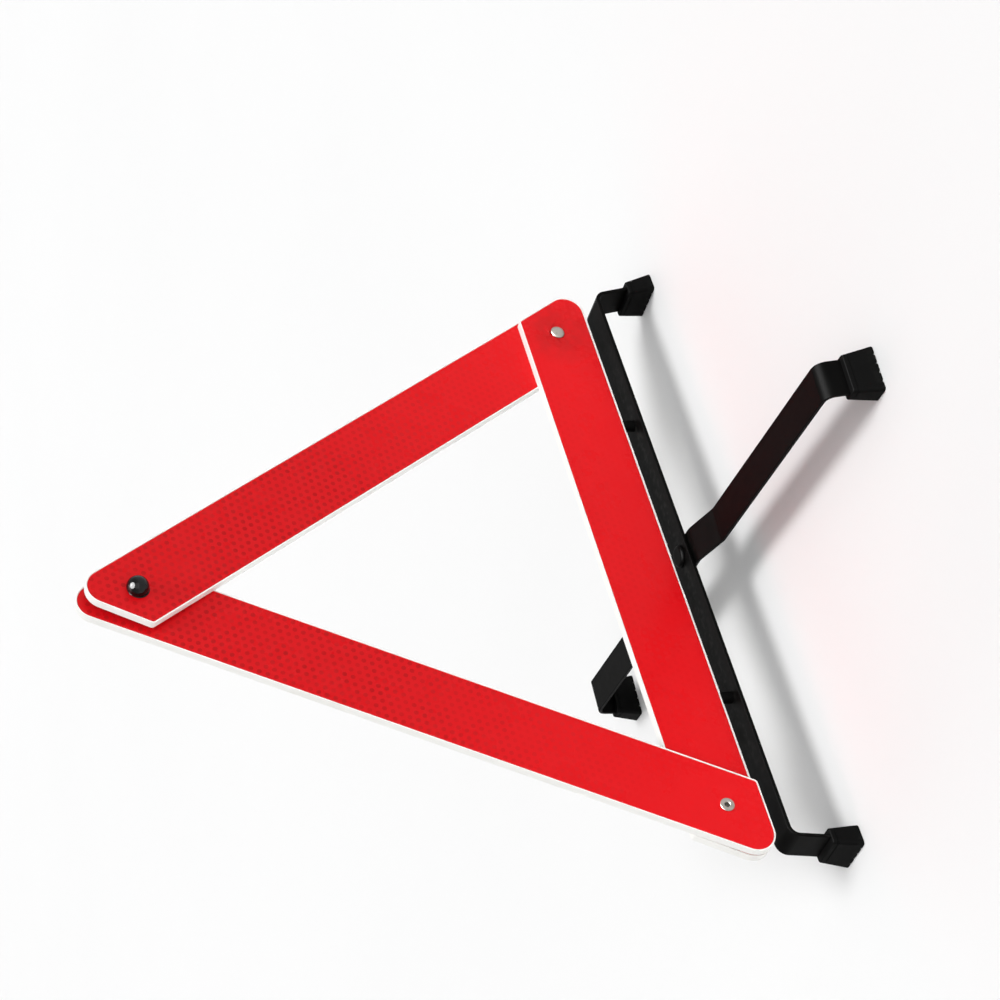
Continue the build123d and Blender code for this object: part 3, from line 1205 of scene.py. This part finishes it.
# ------------------------------------------------------------------------------ legs and feet
@dataclass
class LegScrews:
    """The two pan-head screws that hold the long leg, each with a cross recess."""

    head_radius: float = 3.0 * MM
    head_height: float = 2.0 * MM
    dome_share: float = 0.62
    dome_angle: float = 80.0
    dome_rings: int = 6
    shank_radius: float = 1.5 * MM
    thread_pitch: float = 0.9 * MM
    thread_depth: float = 0.22 * MM
    slot_width: float = 0.9 * MM
    slot_length: float = 3.4 * MM
    slot_depth: float = 1.2 * MM
    point_share: float = 0.25
    sides: int = 32

    def build(self, steel: bpy.types.Material) -> None:
        """Model and dress both screws as one piece.

        Args:
            steel: their finish.
        """
        low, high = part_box("leg_screws")
        middle_y = (low.y + high.y) / 2
        screws = []
        for side in (low.x + self.head_radius, high.x - self.head_radius):
            screw = self.screw(high.z - low.z)
            screw.data.transform(Matrix.Translation((side, middle_y, low.z)))
            screws.append(screw)
        pair = joined(screws)
        pair.name = "leg_pan_head_screws"
        shade(pair, angle=40)
        give(pair, Body.STAND, [steel], "leg_screws")

    def screw(self, length: float) -> bpy.types.Object:
        """One screw along local Z, head down, with the lowest point of its head at 0.

        Args:
            length: its length, head included.

        Returns:
            The screw.
        """
        rings = [ring / self.dome_rings for ring in range(self.dome_rings + 1)]
        angles = [math.radians(self.dome_angle - self.dome_angle * share) for share in rings]
        dome = [
            (self.head_radius * math.cos(a), self.head_height * self.dome_share * (1 - math.sin(a)))
            for a in angles
        ]
        threaded = length - 3 * self.head_height
        turns = int(threaded / self.thread_pitch)
        thread: Profile = []
        for turn in range(turns):
            foot = 2 * self.head_height + turn * self.thread_pitch
            thread.append((self.shank_radius, foot))
            thread.append((self.shank_radius - self.thread_depth, foot + self.thread_pitch / 2))
        profile = [
            *dome, (self.head_radius, self.head_height), (self.shank_radius, self.head_height),
            *thread, (self.shank_radius, length - self.head_height / 2),
            (self.shank_radius * self.point_share, length),
        ]
        screw = turned("screw", profile, self.sides)
        for size in ((self.slot_length, self.slot_width), (self.slot_width, self.slot_length)):
            tool = block("driver", Vector((*size, 2 * self.slot_depth)), Vector((0, 0, 0)))
            cut(screw, tool)
        return screw


@dataclass
class Boot:
    """A flared boot on one turned-down end, with a line pressed in near its top and a treaded sole."""

    node: str
    body: Body
    corner: float = 2.4 * MM
    band_height: float = 3.4 * MM
    band_width: float = 0.7 * MM
    band_depth: float = 0.3 * MM
    splay: float = 10.0
    strap: tuple[float, float] = (2.7 * MM, 24.2 * MM)
    pocket_depth: float = 14.5 * MM
    tread_depth: float = 0.8 * MM
    tread_width: float = 1.3 * MM
    treads: int = 4
    edge: float = 0.6 * MM

    def __post_init__(self) -> None:
        """Read the boot's place and size from its frame node."""
        corners = [v.co for v in frame["nodes"][self.node].data.vertices]
        self.height = max(p.z for p in corners)
        soles = [p for p in corners if p.z < LEVEL_TOLERANCE]
        middle = sum(soles, Vector()) / len(soles)
        turn = Matrix.Rotation(math.atan2(middle.y, middle.x), 4, "Z")
        local = [turn.inverted() @ p for p in corners]
        self.top, top_middle = self.extent([p for p in local if p.z > self.height - LEVEL_TOLERANCE])
        self.sole, sole_middle = self.extent([p for p in local if p.z < LEVEL_TOLERANCE])
        self.lean = sole_middle.x - top_middle.x
        self.place = turn @ Matrix.Translation(sole_middle)

    @staticmethod
    def extent(points: Sequence[Vector]) -> tuple[Vector, Vector]:
        """How far a level outline goes.

        Args:
            points: its points.

        Returns:
            Its size and its middle.
        """
        low = Vector(map(min, zip(*points)))
        high = Vector(map(max, zip(*points)))
        return high - low, Vector(((low.x + high.x) / 2, (low.y + high.y) / 2, 0))

    def build(self, rubber: bpy.types.Material) -> None:
        """Model and dress the boot.

        Args:
            rubber: its finish.
        """
        boot = self.shell()
        self.cut_tread(boot)
        soften(boot, self.edge, segments=3)
        self.press_band(boot)
        cut(boot, self.pocket())
        boot.data.transform(self.place)
        shade(boot, angle=32)
        give(boot, self.body, [rubber], self.node)

    def shell(self) -> bpy.types.Object:
        """Model the flared block with rounded corners.

        Returns:
            The block, standing on its local origin.
        """
        boot = block(
            f"{self.node}_boot", Vector((self.sole.x, self.sole.y, self.height)),
            Vector((0, 0, self.height / 2)),
        )
        with editing(boot):
            pick(boot, Pick.FACES, lambda face: face.normal.z > 0.9)
            scale = (self.top.x / self.sole.x, self.top.y / self.sole.y, 1)
            bpy.ops.transform.resize(value=scale, center_override=(0, 0, self.height))
            bpy.ops.transform.translate(value=(-self.lean, 0, 0))
            pick(boot, Pick.EDGES, self.is_upright)
            bpy.ops.mesh.bevel(offset=self.corner, segments=5, affect="EDGES")
        return boot

    def is_upright(self, edge: bmesh.types.BMEdge) -> bool:
        """Whether an edge runs from the sole to the top."""
        bottom, top = edge.verts
        return abs(bottom.co.z - top.co.z) > self.height / 2

    def press_band(self, boot: bpy.types.Object) -> None:
        """Press a thin line into the walls, parallel to the top.

        Args:
            boot: the boot, standing on its local origin.
        """
        lower = self.height - self.band_height
        middle = lower + self.band_width / 2
        with editing(boot):
            for height in (lower, lower + self.band_width):
                bpy.ops.mesh.select_all(action="SELECT")
                bpy.ops.mesh.bisect(plane_co=(0, 0, height), plane_no=(0, 0, 1))
            pick(
                boot, Pick.FACES,
                lambda face: abs(face.calc_center_median().z - middle) < self.band_width / 2
                and abs(face.normal.z) < 0.5,
            )
            bpy.ops.mesh.extrude_region_shrink_fatten(
                TRANSFORM_OT_shrink_fatten={"value": -self.band_depth}
            )

    def cut_tread(self, boot: bpy.types.Object) -> None:
        """Cut the tread grooves across the sole.

        Args:
            boot: the boot, standing on its local origin.
        """
        pitch = self.sole.y / (self.treads + 1)
        for number in range(self.treads):
            place = (number - (self.treads - 1) / 2) * pitch
            groove = block(
                "groove", Vector((2 * self.sole.x, self.tread_width, 2 * self.tread_depth)),
                Vector((0, place, 0)),
            )
            cut(boot, groove)

    def pocket(self) -> bpy.types.Object:
        """Model the slot that the strap's end is pushed into.

        Returns:
            The tool that cuts it.
        """
        tool = block("pocket", Vector((*self.strap, 2 * self.pocket_depth)), Vector((0, 0, 0)))
        tilt = Matrix.Rotation(math.radians(-self.splay), 4, "Y")
        tool.data.transform(Matrix.Translation((-self.lean, 0, self.height)) @ tilt)
        return tool


class Stand:
    """The two pressed legs, the screws of the long one and the four boots."""

    def build(self) -> None:
        """Model and dress the stand."""
        paint = BlackPaint().material()
        rubber = BootRubber().material()
        for node, body in (("long_leg", Body.STAND), ("cross_leg", Body.CROSS)):
            leg = merged_copy(node, f"{node}_strap")
            shade(leg, angle=40)
            give(leg, body, [paint], node)
        LegScrews().build(RivetSteel(name="screw_steel").material())
        for node, body in (
            ("left_foot", Body.STAND), ("right_foot", Body.STAND),
            ("front_foot", Body.CROSS), ("rear_foot", Body.CROSS),
        ):
            Boot(node, body).build(rubber)


# ------------------------------------------------------------------------------ studio
@dataclass(frozen=True)
class Sun:
    """One soft distant light.

    Its direction is from the object to the light, and its angle is its apparent size in degrees,
    which softens its shadows.
    """

    name: str
    towards: Triple
    strength: float
    angle: float
    in_diffuse: bool = True
    in_gloss: bool = True

    def shine(self) -> None:
        """Put the light in the scene."""
        data = bpy.data.lights.new(self.name, "SUN")
        data.energy = self.strength
        data.angle = math.radians(self.angle)
        light = bpy.data.objects.new(self.name, data)
        light.matrix_world = Vector(self.towards).to_track_quat("Z", "Y").to_matrix().to_4x4()
        light.visible_diffuse = self.in_diffuse
        light.visible_glossy = self.in_gloss
        bpy.context.scene.collection.objects.link(light)


@dataclass
class Studio:
    """Floor, light and camera.

    The sky is pairs of height, as the sine of the elevation, and brightness.
    """

    camera_place: Triple = (-0.91076, -1.35057, 0.78581)
    aim: Triple = (0.05468, 0.0, 0.15711)
    roll: float = 93.53
    lens: float = 97.71
    view_depth: float = 100.0
    floor_size: float = 40.0
    floor_gap: float = 0.05 * MM
    sky: tuple[tuple[float, float], ...] = ((0.0, 0.96), (0.30, 0.52), (1.0, 0.42))
    suns: tuple[Sun, ...] = (
        Sun("key", (0.16, -0.30, 0.94), 1.55, 20),
        Sun("fill", (-0.45, -0.85, 0.28), 0.80, 60),
        Sun("rear", (0.40, 0.85, 0.35), 0.55, 60, in_gloss=False),
        Sun("softbox", (0.00, -0.38, 0.92), 20.0, 56, in_diffuse=False),
    )

    def build(self) -> None:
        """Set up the studio."""
        self.make_camera()
        self.make_floor()
        for sun in self.suns:
            sun.shine()
        self.make_sky()
        bpy.context.scene.view_settings.view_transform = "Standard"

    def make_sky(self) -> None:
        """A plain backdrop, as pale as the floor at the horizon and dimmer overhead."""
        world = bpy.data.worlds.new("studio_sky")
        bpy.context.scene.world = world
        world.use_nodes = True
        nodes, links = world.node_tree.nodes, world.node_tree.links
        direction = nodes.new("ShaderNodeTexCoord")
        parts = nodes.new("ShaderNodeSeparateXYZ")
        ramp = nodes.new("ShaderNodeValToRGB")
        NodeTree.set_stops(ramp.color_ramp, self.sky)
        links.new(direction.outputs["Generated"], parts.inputs[0])
        links.new(parts.outputs["Z"], ramp.inputs["Fac"])
        links.new(ramp.outputs["Color"], nodes["Background"].inputs["Color"])

    def make_camera(self) -> None:
        """A long lens from the left front, rolled almost a quarter turn."""
        data = bpy.data.cameras.new("camera")
        data.lens = self.lens
        data.clip_end = self.view_depth
        camera = bpy.data.objects.new("camera", data)
        bpy.context.scene.collection.objects.link(camera)
        place = Vector(self.camera_place)
        look = (Vector(self.aim) - place).to_track_quat("-Z", "Y").to_matrix().to_4x4()
        roll = Matrix.Rotation(math.radians(-self.roll), 4, "Z")
        camera.matrix_world = Matrix.Translation(place) @ look @ roll
        bpy.context.scene.camera = camera

    def make_floor(self) -> None:
        """A plain pale floor under the feet."""
        bpy.ops.object.select_all(action="DESELECT")
        bpy.ops.mesh.primitive_plane_add(size=self.floor_size, location=(0, 0, -self.floor_gap))
        floor = bpy.context.object
        floor.name = "floor"
        bpy.ops.object.transform_apply(location=True)
        floor.data.materials.append(StudioFloor().material())


def main() -> None:
    """Build every piece in order."""
    logging.basicConfig(level=logging.INFO, format="%(name)s: %(message)s")
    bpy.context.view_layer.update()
    triangle = Triangle()
    Studio().build()
    ReflectorArms(triangle).build()
    Fittings(triangle).build()
    Stand().build()


if __name__ == "__main__":
    main()
